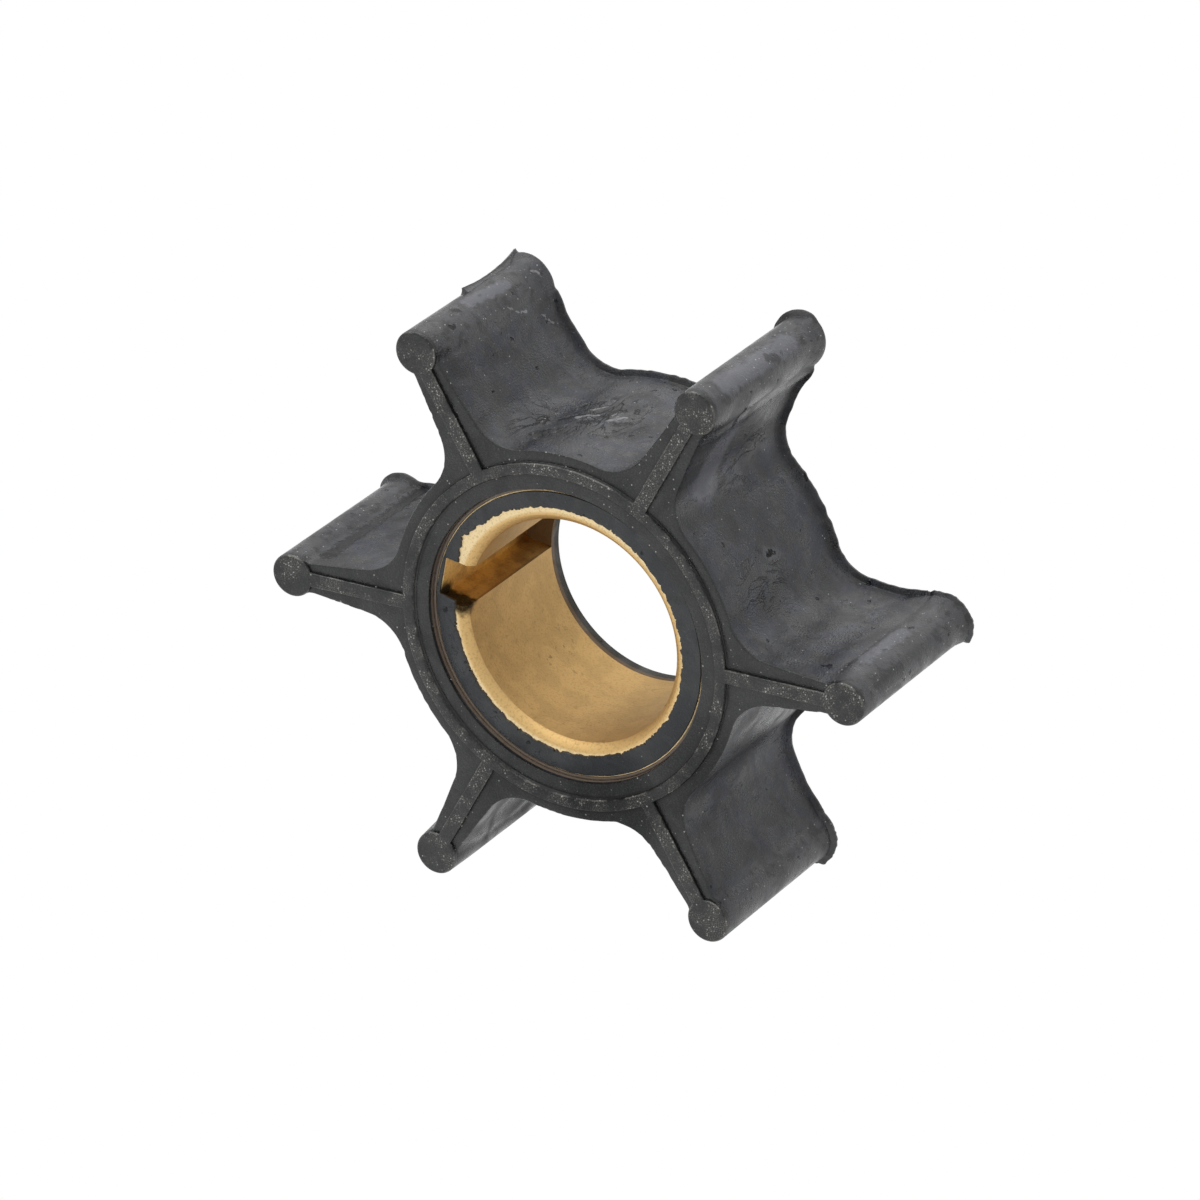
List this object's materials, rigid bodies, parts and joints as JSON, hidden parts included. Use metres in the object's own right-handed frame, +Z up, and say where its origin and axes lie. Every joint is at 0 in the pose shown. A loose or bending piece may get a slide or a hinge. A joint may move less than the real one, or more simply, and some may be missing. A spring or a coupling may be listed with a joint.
{
  "type": "flexible-vane pump impeller",
  "caption": "Rubber water-pump impeller: straight flexible vanes with round sealing beads, moulded round a keyed brass bush.",
  "frame": {"origin": "on the spin axis, at the middle of the impeller's width", "axes": "+Y along the spin axis, from the front end to the back end; +X along the middle of one vane; +Z up, with the impeller standing on two vane tips"},
  "size_m": [0.059, 0.0184, 0.0518],
  "materials": {
    "rubber": "matte",
    "brass": "satin"
  },
  "bodies": {
    "root": {"impeller_body": "rubber", "hub_bush": "brass"}
  },
  "joints": []
}
